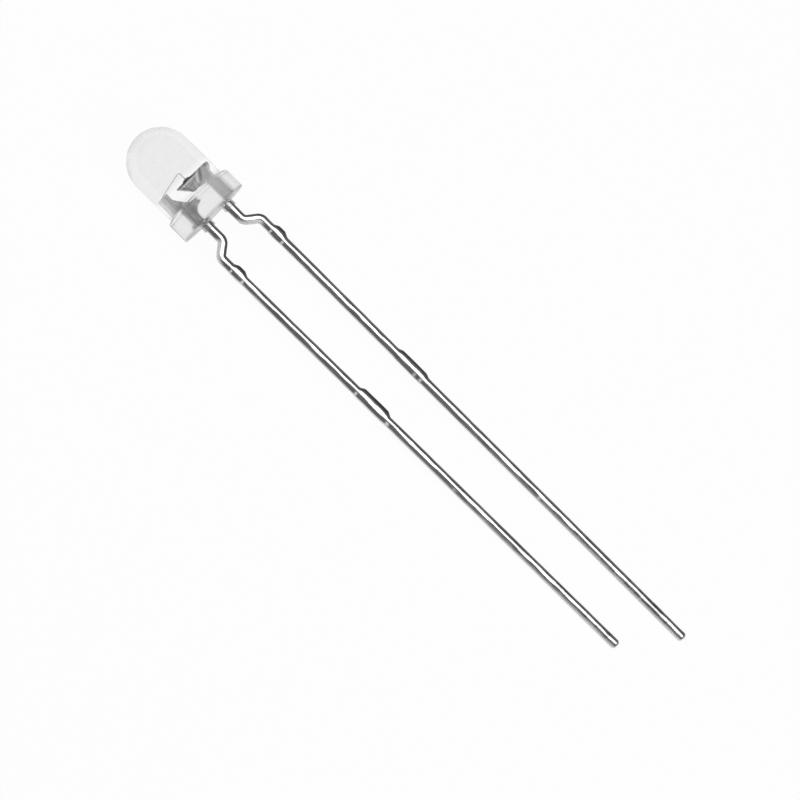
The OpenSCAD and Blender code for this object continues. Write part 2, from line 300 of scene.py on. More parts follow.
def join(first, others):
    """Puts several meshes into one object without cutting them."""
    made = bmesh.new()
    made.from_mesh(first.data)
    for other in others:
        made.from_mesh(other.data)
        bpy.data.objects.remove(other)
    made.to_mesh(first.data)
    made.free()
    return first


def mark_places(piece):
    """Keeps each point's place as drawn: along from the casting's face, and across the frame."""
    for name, axis in (("along", 0), ("across", 1)):
        marks = piece.data.attributes.new(name, "FLOAT", "POINT")
        for vert in piece.data.vertices:
            marks.data[vert.index].value = vert.co[axis]
    return piece


def lay_down(thing, sharp_degrees):
    """Moves a drawn piece to where it lies, in metres, and shades it smooth apart from its sharp edges."""
    thing.data.transform(Matrix.Scale(MM, 4) @ REST)
    thing.data.shade_smooth()
    thing.data.set_sharp_from_angle(angle=math.radians(sharp_degrees))
    return thing


def ring_tube(made, rings, marks):
    """Skins rings of points into a tube, and keeps each point's marks for the material."""
    layers = {key: made.verts.layers.float.new(key) for key in marks[0][0]}
    rows = []
    for ring, ring_marks in zip(rings, marks):
        row = [made.verts.new(p) for p in ring]
        for vert, values in zip(row, ring_marks):
            for key, value in values.items():
                vert[layers[key]] = value
        rows.append(row)
    count = len(rows[0])
    for row, following in zip(rows, rows[1:]):
        for k in range(count):
            made.faces.new([row[k], row[(k + 1) % count], following[(k + 1) % count], following[k]])
    made.faces.new(list(reversed(rows[0])))
    made.faces.new(rows[-1])


# Casting

def casting():
    """The resin casting as one clear solid: dome, body, flange with its flat, and the collars."""
    body_r = BODY_R - SKIN
    flange_r = FLANGE_R - SKIN
    profile = [(0, DOME_H + body_r)]
    profile += list(reversed(arc((0, DOME_H), body_r, 0, 90, 40)))[1:]
    body_h = DOME_H - FLANGE_H
    profile += [(body_r, DOME_H - body_h * k / BODY_STEPS) for k in range(1, BODY_STEPS - 1)]
    shoulder = (body_r + SHOULDER_ROUND, FLANGE_H + SHOULDER_ROUND)
    profile += arc(shoulder, SHOULDER_ROUND, 180, 270, 6)
    edge = (flange_r - FLANGE_ROUND, FLANGE_H - FLANGE_ROUND)
    profile += arc(edge, FLANGE_ROUND, 90, 0, 10)
    profile += [(flange_r, FOOT_BEVEL), (flange_r - FOOT_BEVEL, 0), (0, 0)]
    solid = lathe("resin_casting", profile, 0, 192)
    for vert in solid.data.vertices:
        if -vert.co.x < FLANGE_H + SHOULDER_ROUND:
            vert.co.y = max(vert.co.y, FLAT_Y + SKIN)
    collars = [collar("long_collar", LONG_Y_IN), collar("short_collar", SHORT_Y_IN)]
    return lay_down(mark_places(combine(solid, collars, "UNION")), 35)


def collar(name, y_axis):
    """Resin drawn up a lead: a hollow foot, a straight wall and a rounded end."""
    foot = (COLLAR_R + COLLAR_ROUND, COLLAR_ROUND - COLLAR_SINK)
    flare = COLLAR_R + COLLAR_ROUND / 2
    profile = [(0, COLLAR_ROOT), (flare, COLLAR_ROOT), (flare, 0)]
    profile += [(r, -h) for r, h in arc(foot, COLLAR_ROUND, 240, 180, 8)]
    edge = (COLLAR_R - COLLAR_EDGE, COLLAR_H - COLLAR_EDGE)
    profile += [(r, -h) for r, h in arc(edge, COLLAR_EDGE, 0, 80, 5)]
    profile += [(0, -COLLAR_H)]
    return lathe(name, profile, y_axis, 64)


# Leads

def lead_line(y_in, side, length, lean):
    """Stations along a lead's centre line: distance, place and heading, from its root to its tip."""
    slant = kink_length() - 2 * BEND_R * math.sin(KINK_ANGLE)
    slant /= math.cos(KINK_ANGLE)
    start = KINK_MID - kink_length() / 2
    steps = [("run", start + ROOT_L), ("turn", side * KINK_ANGLE), ("run", slant)]
    steps += [("turn", lean - side * KINK_ANGLE)]
    place = Vector((-ROOT_L, y_in))
    heading = 0.0
    stations = []
    for kind, amount in steps:
        for _ in range(KINK_STEPS):
            stations.append((place.copy(), heading))
            if kind == "turn":
                chord = 2 * BEND_R * math.sin(abs(amount) / KINK_STEPS / 2)
                heading += amount / KINK_STEPS / 2
                place += chord * Vector((math.cos(heading), math.sin(heading)))
                heading += amount / KINK_STEPS / 2
            else:
                place += amount / KINK_STEPS * Vector((math.cos(heading), math.sin(heading)))
    while place.x < length - TIP_ROUND - TIP_GAP:
        stations.append((place.copy(), heading))
        step = FINE_STEP if near_stub_end(place.x) else PLAIN_STEP
        place += step * Vector((math.cos(heading), math.sin(heading)))
    for k in range(TIP_STEPS):
        turn = math.radians(90 * k / TIP_STEPS)
        reach = length - SKIN - TIP_ROUND + TIP_ROUND * math.sin(turn)
        stations.append((place + (reach - place.x) * Vector((1, math.tan(heading))), heading))
    return stations


def near_stub_end(x):
    """Whether x is near an end of a stub, where the stations stand closer together."""
    ends = (*NEAR_STUB, *FAR_STUB)
    return any(abs(x - end) < FINE_REACH for end in ends)


def stub_height(x, span):
    """How much of a tie-bar stub stands out at x: 1 along the stub, sloping to 0 at its sheared ends."""
    rise = min(x - span[0], span[1] - x) / STUB_SLOPE
    rise = max(0.0, min(1.0, rise))
    return rise * rise * (3 - 2 * rise)


def section_points(count):
    """Unit points round a lead's section: a square with crowned faces, highest a little off the middle."""
    points = []
    for k in range(count):
        t = 2 * math.pi * (k + 0.5) / count
        c, s = math.cos(t), math.sin(t)
        u = math.copysign(abs(c) ** (2 / LEAD_CROWN), c)
        w = math.copysign(abs(s) ** (2 / LEAD_CROWN), s)
        points.append((CROWN_OFF_MIDDLE * (1 - abs(u)) + u, w))
    return points


def scuff_and_highlight_at(x, scuffs_and_highlights):
    """How pale the tin is painted at x: 1 in the middle of a patch, 0 off it. Each patch is partly scuffing
    and partly a painted highlight.
    """
    return max(math.exp(-((x - centre) / reach) ** 4) for centre, reach in scuffs_and_highlights)


def lead_leg(name, y_in, side, length, lean, far_stub_out, scuffs_and_highlights):
    """The outside length of a lead, with its kink, its tie-bar stubs, its wavy tin coat and its cut tip."""
    section = section_points(LEAD_SIDES)
    stations = lead_line(y_in, side, length, lean)
    rings, marks = [], []
    tip_start = length - SKIN - TIP_ROUND
    for place, heading in stations:
        across = Vector((-math.sin(heading), math.cos(heading)))
        tip = max(0.0, min(1.0, (place.x - tip_start) / TIP_ROUND))
        inset = TIP_ROUND * (1 - math.sqrt(max(0.0, 1 - tip * tip)))
        near = stub_height(place.x, NEAR_STUB)
        far = stub_height(place.x, FAR_STUB)
        out = near * NEAR_STUB_OUT + far * far_stub_out
        back = max(near, far) * STUB_BACK
        ring, ring_marks = [], []
        for u, w in section:
            around = u * TIN_WAVES_ROUND + side * TIN_WAVES_SHIFT
            in_tin = Vector((place.x * TIN_WAVES_ALONG, around, w * TIN_WAVES_ROUND))
            coat = noise.noise(in_tin) - TIN_SINK
            lateral = u * (LEAD_W / 2 - inset + coat * TIN_WAVE)
            height = w * (LEAD_T / 2 - inset + coat * TIN_WAVE)
            bulge = max(0.0, (abs(u) - STUB_FROM) / (1 - STUB_FROM)) ** STUB_ROUNDING
            lateral += bulge * (out if u > 0 else -back)
            spot = place + across * lateral
            ring.append((spot.x, spot.y, height))
            ring_marks.append({"lateral": u, "stub": max(near, far), "scuff_and_highlight": scuff_and_highlight_at(place.x, scuffs_and_highlights)})
        rings.append(ring)
        marks.append(ring_marks)
    made = bmesh.new()
    ring_tube(made, rings, marks)
    bmesh.ops.recalc_face_normals(made, faces=made.faces)
    return mesh_object(name, made)


def post_outline():
    """The short lead's flag: bond pad, knee, notch, pointed spur, hollow underside, stem and heel."""
    hollow = arc((STEM_IN_Y + SPUR_HOLLOW_R, SPUR_HOLLOW_H), SPUR_HOLLOW_R, 100, 180, 12)
    return [
        (PAD_OUTER_Y, POST_H),
        (PAD_INNER_Y, POST_H),
        (PAD_INNER_Y, KNEE_H),
        (NOTCH_Y, NOTCH_H),
        (SPUR_TOP_Y, SPUR_TOP_H),
        (SPUR_Y, SPUR_H),
        *hollow,
        (STEM_IN_Y, STEM_FOOT_H),
        (STEM_OUT_Y, STEM_FOOT_H),
        (STEM_OUT_Y, POST_HEEL_H),
        (PAD_OUTER_Y, POST_HEEL_H),
    ]


def head_outline():
    """The long lead's head: rim, outer corner, waist and stem."""
    stem_out = LONG_Y_IN + STEM_HALF_W
    stem_in = LONG_Y_IN - STEM_HALF_W
    return [
        (CUP_Y - BOWL_R + HEAD_OVERLAP, CUP_H),
        (HEAD_OUTER_Y, CUP_H),
        (HEAD_OUTER_Y, HEAD_EDGE_H),
        (stem_out - WAIST_DEPTH, WAIST_TOP_H),
        (stem_out - WAIST_DEPTH, WAIST_END_H),
        (stem_out, WAIST_END_H - WAIST_DEPTH),
        (stem_out, STEM_FOOT_H),
        (stem_in, STEM_FOOT_H),
        (stem_in, HEAD_UNDER_H),
        (CUP_Y, CUP_H - BOWL_DEPTH),
    ]


def bowl():
    """The reflector's outside, a cone with a rounded underside, as a solid."""
    tip_h = CUP_H - BOWL_DEPTH + BOWL_TIP_R * BOWL_TIP_RISE
    rim_h = CUP_H - PUNCH_EDGE
    narrowing = BOWL_R - BOWL_TIP_R
    cone_h = rim_h - tip_h
    profile = [(0, CUP_H), (BOWL_R - PUNCH_EDGE, CUP_H), (BOWL_R, rim_h)]
    profile += [(BOWL_R - narrowing * k / 10, rim_h - cone_h * k / 10) for k in range(1, 10)]
    profile += arc((0, tip_h), BOWL_TIP_R, -20, -90, 8)[:-1]
    profile += [(0, tip_h - BOWL_TIP_R)]
    return lathe("bowl", profile, CUP_Y, 96)


def cup_hollow():
    """The reflector's inside, a cone that is drawn past the rim to cut it cleanly."""
    past = 0.1
    mouth_r = CUP_MOUTH_R + past * (CUP_MOUTH_R - CUP_FLOOR_R) / (CUP_H - CUP_FLOOR_H)
    profile = [(0, CUP_H + past), (mouth_r, CUP_H + past), (CUP_FLOOR_R, CUP_FLOOR_H), (0, CUP_FLOOR_H)]
    return lathe("hollow", profile, CUP_Y, 96)


def cup_lead():
    """The long lead with its head and cup, in one piece."""
    head = combine(bowl(), [plate("head", head_outline())], "UNION")
    head = combine(head, [cup_hollow()], "DIFFERENCE")
    leg = lead_leg("cup_lead_tinned", LONG_Y_IN, 1, LONG_L, 0.0, FAR_STUB_OUT_LONG, LONG_SCUFFS_AND_HIGHLIGHTS)
    return lay_down(mark_places(join(leg, [head])), 40)


def post_lead():
    """The short lead with its flag, in one piece."""
    flag = plate("flag", post_outline())
    leg = lead_leg("post_lead_tinned", SHORT_Y_IN, -1, SHORT_L, TOE_IN, FAR_STUB_OUT_SHORT, SHORT_SCUFFS_AND_HIGHLIGHTS)
    return lay_down(mark_places(join(leg, [flag])), 40)


# Chip and bond wire

def led_chip():
    """The diced chip: sides etched in a little under its top, and a round bond pad."""
    made = bmesh.new()
    half = CHIP_W / 2
    etch_h = CHIP_TOP_H - CHIP_ETCH_H
    levels = [(CHIP_BASE_H, half), (etch_h, half)]
    levels += [(etch_h + CHIP_LEDGE_H, half - CHIP_LEDGE_W), (CHIP_TOP_H, half - CHIP_TAPER_W)]
    rows = []
    for height, reach in levels:
        corners = [(-reach, -reach), (reach, -reach), (reach, reach), (-reach, reach)]
        rows.append([made.verts.new((-height, CUP_Y + a, b)) for a, b in corners])
    for row, following in zip(rows, rows[1:]):
        for k in range(4):
            made.faces.new([row[k], row[(k + 1) % 4], following[(k + 1) % 4], following[k]])
    made.faces.new(rows[0])
    made.faces.new(rows[-1])
    bmesh.ops.recalc_face_normals(made, faces=made.faces)
    pad_low = CHIP_TOP_H - CHIP_PAD_SINK
    pad_top = CHIP_TOP_H + CHIP_PAD_H
    pad_profile = [(0, pad_top), (CHIP_PAD_R, pad_top), (CHIP_PAD_R, pad_low), (0, pad_low)]
    pad = lathe("pad", pad_profile, CUP_Y, 32)
    block = mesh_object("chip_diced", made)
    block_faces = len(block.data.polygons)
    chip = join(block, [pad])
    for face in chip.data.polygons:
        face.material_index = 1 if face.index >= block_faces else 0
    return lay_down(chip, 30)


def wire_line():
    """The wire's centre line from the chip's pad to the post's pad, as (across, height) points."""
    end_h = POST_H + WIRE_R + WIRE_LIFT
    centre = (CUP_Y - LOOP_R, LOOP_TOP_H - LOOP_R)
    fall_h = centre[1] - end_h
    fall_w = centre[0] - WIRE_END_Y
    fall = math.atan2(fall_h, fall_w) + math.asin(LOOP_R / math.hypot(fall_h, fall_w))
    line = [(CUP_Y, CHIP_TOP_H + CHIP_PAD_H + BALL_H / 2), (CUP_Y, centre[1] - LOOP_EASE)]
    line += arc(centre, LOOP_R, 0, 90 + math.degrees(fall), 14)
    top_y, top_h = line[-1]
    for k in range(1, FALL_STEPS + 1):
        left = 1 - k / FALL_STEPS
        line.append((WIRE_END_Y + (top_y - WIRE_END_Y) * left, end_h + (top_h - end_h) * left))
    return line


def stitch():
    """The wire's end on the post, pressed flat and fanned out."""
    start = WIRE_END_Y + 2 * WIRE_R
    end = start - STITCH_L
    half_fan = [(start, WIRE_R, 1), (end, STITCH_W / 2, STITCH_THINNING)]
    fan = half_fan + [(y, -z, share) for y, z, share in reversed(half_fan)]
    made = bmesh.new()
    low = [made.verts.new((-POST_H, y, z)) for y, z, _ in fan]
    high = [made.verts.new((-POST_H - STITCH_T * share, y, z)) for y, z, share in fan]
    made.faces.new(low)
    made.faces.new(list(reversed(high)))
    for k in range(4):
        made.faces.new([low[k], high[k], high[(k + 1) % 4], low[(k + 1) % 4]])
    bmesh.ops.recalc_face_normals(made, faces=made.faces)
    return mesh_object("stitch", made)


def bond_wire():
    """The wire: squeezed ball, riser, bend, straight fall, and the stitch on the post."""
    line = wire_line()
    made = bmesh.new()
    rings = []
    for k, (y, h) in enumerate(line):
        before = line[max(0, k - 1)]
        after = line[min(len(line) - 1, k + 1)]
        heading = Vector((after[0] - before[0], after[1] - before[1])).normalized()
        across = Vector((-heading.y, heading.x))
        ring = []
        for j in range(WIRE_SIDES):
            t = 2 * math.pi * j / WIRE_SIDES
            spot = Vector((y, h)) + across * WIRE_R * math.cos(t)
            ring.append((-spot.y, spot.x, WIRE_R * math.sin(t)))
        rings.append(ring)
    ring_tube(made, rings, [[{}] * WIRE_SIDES] * len(rings))
    wire = mesh_object("looped_wire", made)
    pad_top = CHIP_TOP_H + CHIP_PAD_H
    bulge = BALL_H / 2
    profile = [(0, pad_top + BALL_H), (BALL_R * BALL_TOP, pad_top + BALL_H)]
    profile += arc((BALL_R - bulge, pad_top + bulge), bulge, 90, -90, 8)
    profile += [(0, pad_top)]
    return lay_down(join(wire, [lathe("ball", profile, CUP_Y, 32), stitch()]), 50)


# Shader writing

# A Mix node's sockets for colours, by number: three inputs and one output
MIX_SHARE, MIX_LOW, MIX_HIGH = 0, 6, 7
MIX_COLOUR = 2


class Value:
    """A shader socket that can be used in sums, so that 1 - mask adds the Math nodes it needs."""

    def __init__(self, paint, socket):
        self.paint = paint
        self.socket = socket

    def math(self, operation, other=None):
        inputs = {0: self} if other is None else {0: self, 1: other}
        return self.paint.node("ShaderNodeMath", {"operation": operation}, inputs)

    def __add__(self, other):
        return self.math("ADD", other)

    def __radd__(self, other):
        return self.math("ADD", other)

    def __sub__(self, other):
        return self.math("SUBTRACT", other)

    def __rsub__(self, other):
        return self.paint.node("ShaderNodeMath", {"operation": "SUBTRACT"}, {0: other, 1: self})

    def __mul__(self, other):
        return self.math("MULTIPLY", other)

    def __abs__(self):
        return self.math("ABSOLUTE")

    def most(self, other):
        return self.math("MAXIMUM", other)

    def step(self, low, high):
        """0 below low, 1 above high, smooth between."""
        inputs = {"Value": self, "From Min": low, "From Max": high}
        return self.paint.node("ShaderNodeMapRange", {"interpolation_type": "SMOOTHSTEP"}, inputs)

    def fall(self, low, high):
        """1 below low, 0 above high, smooth between."""
        return 1 - self.step(low, high)

    def near(self, inner, outer):
        """1 within inner of zero on both sides, 0 beyond outer, smooth between."""
        return abs(self).fall(inner, outer)


class Paint:
    """The node tree of one material or of the world."""

    def __init__(self, tree):
        self.tree = tree
        tree.nodes.clear()

    def node(self, kind, settings=None, inputs=None, output=0):
        """Adds a node, sets it up, fills or links its inputs, and returns one of its outputs."""
        made = self.tree.nodes.new(kind)
        for key, value in (settings or {}).items():
            setattr(made, key, value)
        for key, value in (inputs or {}).items():
            if isinstance(value, Value):
                self.tree.links.new(value.socket, made.inputs[key])
            else:
                made.inputs[key].default_value = value
        return Value(self, made.outputs[output]) if len(made.outputs) else None

    def grain(self, stretch=(1, 1, 1), scale=1.0, detail=3.0, rough=0.55):
        """Noise over the piece's own coordinates in millimetres, which stretch multiplies first."""
        here = self.node("ShaderNodeTexCoord", output="Object")
        per_mm = tuple(1000 * s for s in stretch)
        where = self.node("ShaderNodeMapping", {"vector_type": "POINT"}, {"Vector": here, "Scale": per_mm})
        inputs = {"Vector": where, "Scale": scale, "Detail": detail, "Roughness": rough}
        return self.node("ShaderNodeTexNoise", {}, inputs)

    def mark(self, name):
        """A value that the mesh carries at each point."""
        return self.node("ShaderNodeAttribute", {"attribute_name": name}, output="Fac")

    def tint(self, share, low, high):
        """A colour between two, by share, where a bare number is a grey."""
        low, high = (grey(end) if isinstance(end, float) else end for end in (low, high))
        inputs = {MIX_SHARE: share, MIX_LOW: low, MIX_HIGH: high}
        return self.node("ShaderNodeMix", {"data_type": "RGBA"}, inputs, MIX_COLOUR)

    def bump(self, height, strength, distance):
        """Relief by height, with its depth in metres."""
        inputs = {"Height": height, "Strength": strength, "Distance": distance}
        return self.node("ShaderNodeBump", {}, inputs, "Normal")

    def finish(self, shader):
        self.node("ShaderNodeOutputMaterial", {}, {"Surface": shader})

    def principled(self, inputs):
        """Ends the tree in one Principled shader."""
        self.finish(self.node("ShaderNodeBsdfPrincipled", {}, inputs))


def grey(level):
    return (level, level, level, 1)


def new_material(name):
    material = bpy.data.materials.new(name)
    material.use_nodes = True
    return material, Paint(material.node_tree)


# Materials

EPOXY_IOR = 1.5
CHIP_IOR = 2.2

# Tones of the metal, from 0 for black to 1 for white: one, or the darkest and the lightest
TIN_TONES = (0.45, 0.66)
# Sides: painted shade towards +Y, a painted reflection of the pale floor towards -Y
SIDE_SHADE_AND_REFLECTION_TONES = (0.08, 0.75)
PLATE_TONES = (0.33, 0.84)
# The bowl: painted lighter than the flat plate
BOWL_LIGHT_TONES = (0.42, 0.85)
# The long lead's stem: painted light
STEM_LIGHT_TONES = (0.68, 1.0)
WORN_TONE = 0.22
RUBBED_TONE = 0.26
# The pale patches of the -Y side: painted light, partly over scuffing
PAINTED_LIGHT_AND_SCUFF_TONE = 0.95
# The pad's outer edge: painted light
PAD_LIGHT_TONE = 0.97
LIT_TONE = 1.0
SHADED_TONE = 0.15
# The cup's rim: painted shadow
RIM_SHADOW_TONE = 0.02

# Marks beside and under the cup, in millimetres: the clearest resin and the painted highlight line by their
# depth under its rim, and the painted shade band by its distance from the bowl's side
CLEAR_DEPTH = 0.2
GLINT_DEPTH = 0.14
SHADE_BAND_FROM_BOWL = 0.14

# How white the sheet and the studio look: to the camera, in mirror images and through the resin
SHEET_SEEN = 0.96
SHEET_MIRRORED = 0.6
STUDIO_DIM = 0.21
STUDIO_THROUGH = 0.7


def clear_resin():
    """Water-clear cast epoxy, with the faint ripple and haze of its mould."""
    material, paint = new_material("clear_resin")

    # Clearest beside the cup, greyed at the bottom face and on the collars, less on the long lead's, so
    # that the short lead's collar carries painted shade.
    # The flange is a little cloudy, and the collars are duller and let more show through.
    ripple = paint.grain(scale=1.1, detail=2.0)
    haze = paint.grain(scale=6.0, detail=4.0)
    along = paint.mark("along")
    foot = along.step(-0.16, -0.01)
    on_collar = along.step(0.0, 0.05)
    at_cup = (along + CUP_H - CLEAR_DEPTH).near(0.2, 0.55)
    clear = paint.tint((haze.step(0.35, 0.7) * 0.25).most(at_cup), 0.85, 0.99)
    # The short lead's collar is painted darker than the long lead's: painted shade
    short_side = paint.mark("across").fall(-0.2, 0.2)
    greyed = foot * (0.6 + haze * 0.4) * (1 - on_collar * (0.5 - short_side * 0.4))
    cloudy = (along + FLANGE_H / 2).near(0.4, 0.8)
    paint.principled({
        "Base Color": paint.tint(greyed, clear, 0.4),
        "Roughness": 0.015 + haze.step(0.45, 0.8) * 0.03 + on_collar * 0.2 + cloudy * 0.18,
        "Alpha": 1 - on_collar * 0.55,
        "IOR": EPOXY_IOR,
        "Transmission Weight": 1.0,
        "Normal": paint.bump(ripple, strength=0.25, distance=0.00004),
    })
    return material


def tinned_lead():
    """Stamped iron: bright tin outside, with painted shade and a painted reflection on its sheared sides
    and pale patches on its -Y side that are painted light over some scuffing, and silver plate in the resin
    with painted light and shade.
    """
    material, paint = new_material("tinned_lead")
    along = paint.mark("along")
    across = paint.mark("across")
    lateral = paint.mark("lateral")
    far_side = lateral * -1
    inside = along.fall(-0.06, 0.0)
    streaks = paint.grain((0.35, 9, 9), detail=4.0, rough=0.6)
    blotches = paint.grain((0.8, 1.5, 1.5), scale=1.3)
    pits = paint.grain((2.2, 4, 4), scale=3.0, detail=5.0, rough=0.7)
    lines = paint.grain((1.2, 14, 14))
    dashes = paint.grain((3.2, 1.2, 1.2), detail=2.0)

    # Outside: bright top; sheared sides with painted shade towards +Y and a painted reflection of the pale
    # floor towards -Y; pale patches on the -Y side, partly scuffing and partly painted highlights at the
    # kinks and stub ends; and the -Y side painted light towards the tips and on the slanted runs
    slant_reach = kink_length() / 2
    on_slant = (along - KINK_MID).near(slant_reach * 0.8, slant_reach * 1.5)
    sheared = abs(lateral).step(0.45, 0.85)
    mottled = 0.45 + blotches * 0.45 + streaks.step(0.35, 0.7) * 0.3
    # The sides' tone is painted light and shade: dark on the +Y side, light like the pale floor's
    # reflection on the -Y side
    painted_side_tone = paint.tint(far_side.step(0.45, 0.85) * mottled, *SIDE_SHADE_AND_REFLECTION_TONES)
    # Pale patches on the -Y side: partly scuffing, partly painted highlights where the side turns
    scuff_and_highlight_mask = paint.mark("scuff_and_highlight") * far_side.step(0.05, 0.45) * pits.step(0.1, 0.45)
    # Towards the tips the -Y side is painted light grey: a painted reflection of the pale floor
    painted_tip_light = along.step(TIP_MARKS_START, TIP_LIGHT_FULL) * far_side.step(0.5, 0.75) * (0.55 + blotches * 0.5)
    # On the slanted runs the -Y side is painted near white: painted light where the side faces a different
    # way
    slanted = on_slant * far_side.step(0.45, 0.7) * (0.75 + blotches * 0.4)
    # The pale patches lose their metal and turn light grey: painted light, partly over scuffing
    painted_light_and_scuffs = scuff_and_highlight_mask.most(painted_tip_light).most(slanted) * (1 - inside)
    bright = paint.tint(blotches.step(0.3, 0.75), *TIN_TONES)
    worn = paint.tint(streaks.step(0.5, 0.8) * 0.6, bright, WORN_TONE)
    rubbed = paint.tint(dashes.step(0.5, 0.6) * along.step(TIP_MARKS_START, LONG_L) * 0.9, worn, RUBBED_TONE)
    cut_or_bent = paint.mark("stub").most(on_slant)
    sides = paint.tint(sheared * (0.7 + cut_or_bent * 0.3), rubbed, painted_side_tone)
    outside = paint.tint(painted_light_and_scuffs, sides, PAINTED_LIGHT_AND_SCUFF_TONE)
    sheen = 0.1 + streaks * 0.06 + pits.step(0.6, 0.8) * 0.08 + sheared * 0.15

    # Inside: brushed silver plate with painted light and shade: painted lightest on the long lead's stem,
    # on the bowl and at the pad's outer edge. A painted highlight line and a painted shade band follow the
    # bowl's side, and the head's outer corner carries painted shade. The cup's rim carries a painted
    # shadow, darkest at the chip, over a painted highlight line.
    depth = along + CUP_H
    off_cup = abs(across - CUP_Y)
    from_bowl = across - CUP_Y - BOWL_R + depth * ((BOWL_R - BOWL_TIP_R) / BOWL_DEPTH)
    beside_bowl = depth.fall(0.35, BOWL_DEPTH)
    # A painted highlight line along the bowl's side
    fold_highlight = from_bowl.near(0.01, 0.05) * beside_bowl
    # A painted shade band a little off the bowl's side
    hollow = (from_bowl - SHADE_BAND_FROM_BOWL).near(0.02, 0.09) * beside_bowl
    on_bowl = off_cup.fall(BOWL_R, BOWL_R + 0.1) * beside_bowl
    # The pad's outer edge is painted lighter: painted light
    pad_edge = (across * -1).step(-PAD_INNER_Y, -PAD_OUTER_Y)
    stem_side = across.step(CUP_Y, CUP_Y + BOWL_R)
    # Painted shade at the head's outer corner, just under the rim
    corner = across.step(HEAD_OUTER_Y - 0.18, HEAD_OUTER_Y - 0.04) * depth.fall(0.08, 0.22)
    # A painted shadow along the cup's rim, darkest at the chip
    rim = depth.fall(0.05, 0.1) * off_cup.fall(BOWL_R - 0.02, BOWL_R + 0.06)
    at_chip = off_cup.fall(0.12, 0.3)
    glint = (depth - GLINT_DEPTH).near(0.02, 0.05) * off_cup.fall(BOWL_R * 0.6, BOWL_R)
    stains = paint.grain((1.6, 6, 6)).step(0.42, 0.62)
    plate_tone = paint.tint(lines.step(0.3, 0.7) * (1 - stains * 0.8), *PLATE_TONES)
    # The bowl is painted lighter than the flat plate: painted light
    painted_bowl_light = paint.tint(lines.step(0.3, 0.7), *BOWL_LIGHT_TONES)
    with_painted_bowl_light = paint.tint(on_bowl, plate_tone, painted_bowl_light)
    lit = paint.tint(pad_edge * (0.65 + lines * 0.5), with_painted_bowl_light, PAD_LIGHT_TONE)
    # The stem is painted lighter further under the rim and towards its edges: painted light
    stem_edge = abs(across - LONG_Y_IN).step(0.06, STEM_HALF_W)
    painted_stem_light = paint.tint(depth.step(0.45, 0.75) * (0.7 + stem_edge * 0.3), *STEM_LIGHT_TONES)
    even = paint.tint(stem_side * (0.7 + stains * 0.3), lit, painted_stem_light)
    with_fold_highlight = paint.tint(fold_highlight, even, LIT_TONE)
    with_hollow_shade = paint.tint(hollow * (0.4 + lines * 0.6), with_fold_highlight, SHADED_TONE)
    with_corner_shade = paint.tint(corner * 0.8, with_hollow_shade, SHADED_TONE)
    glinting = paint.tint(glint, with_corner_shade, LIT_TONE)
    silver_with_painted_light = paint.tint(rim * (0.45 + at_chip * 0.5), glinting, RIM_SHADOW_TONE)
    relief = streaks * 0.5 + pits * 0.35 + blotches * 0.4 + lines * inside
    paint.principled({
        "Base Color": paint.tint(inside, outside, silver_with_painted_light),
        "Metallic": 1 - painted_light_and_scuffs * 0.85 - inside * 0.45,
        "Roughness": sheen * (1 - inside) + inside * (0.32 + lines * 0.12),
        "Normal": paint.bump(relief, strength=0.15, distance=0.00002),
    })
    return material


def silver_adhesive():
    """Cured paste full of silver flakes."""
    material, paint = new_material("silver_adhesive")
    flakes = paint.grain(scale=60.0, detail=4.0)
    colour = paint.tint(flakes.step(0.4, 0.65), (0.38, 0.38, 0.39, 1), (0.66, 0.66, 0.67, 1))
    paint.principled({
        "Base Color": colour,
        "Metallic": flakes.step(0.45, 0.6) * 0.8,
        "Roughness": 0.5 + flakes * 0.2,
        "Normal": paint.bump(flakes, strength=0.5, distance=0.00001),
    })
    return material


def chip_material():
    """Dark semiconductor with faint saw marks on its diced sides."""
    material, paint = new_material("semiconductor")
    saw = paint.grain((40, 3, 3))
    colour = paint.tint(saw.step(0.35, 0.7), (0.035, 0.035, 0.04, 1), (0.11, 0.11, 0.12, 1))
    paint.principled({
        "Base Color": colour,
        "Roughness": 0.28 + saw * 0.2,
        "IOR": CHIP_IOR,
        "Normal": paint.bump(saw, strength=0.3, distance=0.000004),
    })
    return material


def silver_wire():
    """Drawn silver alloy of the wire and the pad."""
    material, paint = new_material("silver_wire")
    drawn = paint.grain((8, 30, 30))
    colour = paint.tint(drawn.step(0.35, 0.7), (0.5, 0.5, 0.49, 1), (0.78, 0.78, 0.77, 1))
    paint.principled({
        "Base Color": colour,
        "Metallic": 1.0,
        "Roughness": 0.2 + drawn * 0.12,
    })
    return material


def floor_material():
    """A pale sheet that looks white to the camera, to metal and to glass, and still takes a shadow."""
    material, paint = new_material("white_sheet")
    tooth = paint.grain((0.05, 0.05, 0.05), scale=3.0)
    colour = paint.tint(tooth, 0.88, 0.92)
    matte = paint.node("ShaderNodeBsdfDiffuse", {}, {"Color": colour})
    glow = paint.node("ShaderNodeEmission", {}, {"Color": grey(1.0), "Strength": 1.0})
    camera = paint.node("ShaderNodeLightPath", output="Is Camera Ray")
    glossy = paint.node("ShaderNodeLightPath", output="Is Glossy Ray")
    through = paint.node("ShaderNodeLightPath", output="Is Transmission Ray")
    shown = (camera * SHEET_SEEN).most(through).most(glossy * SHEET_MIRRORED)
    paint.finish(paint.node("ShaderNodeMixShader", {}, {0: shown, 1: matte, 2: glow}))
    return material


# Light, floor and camera

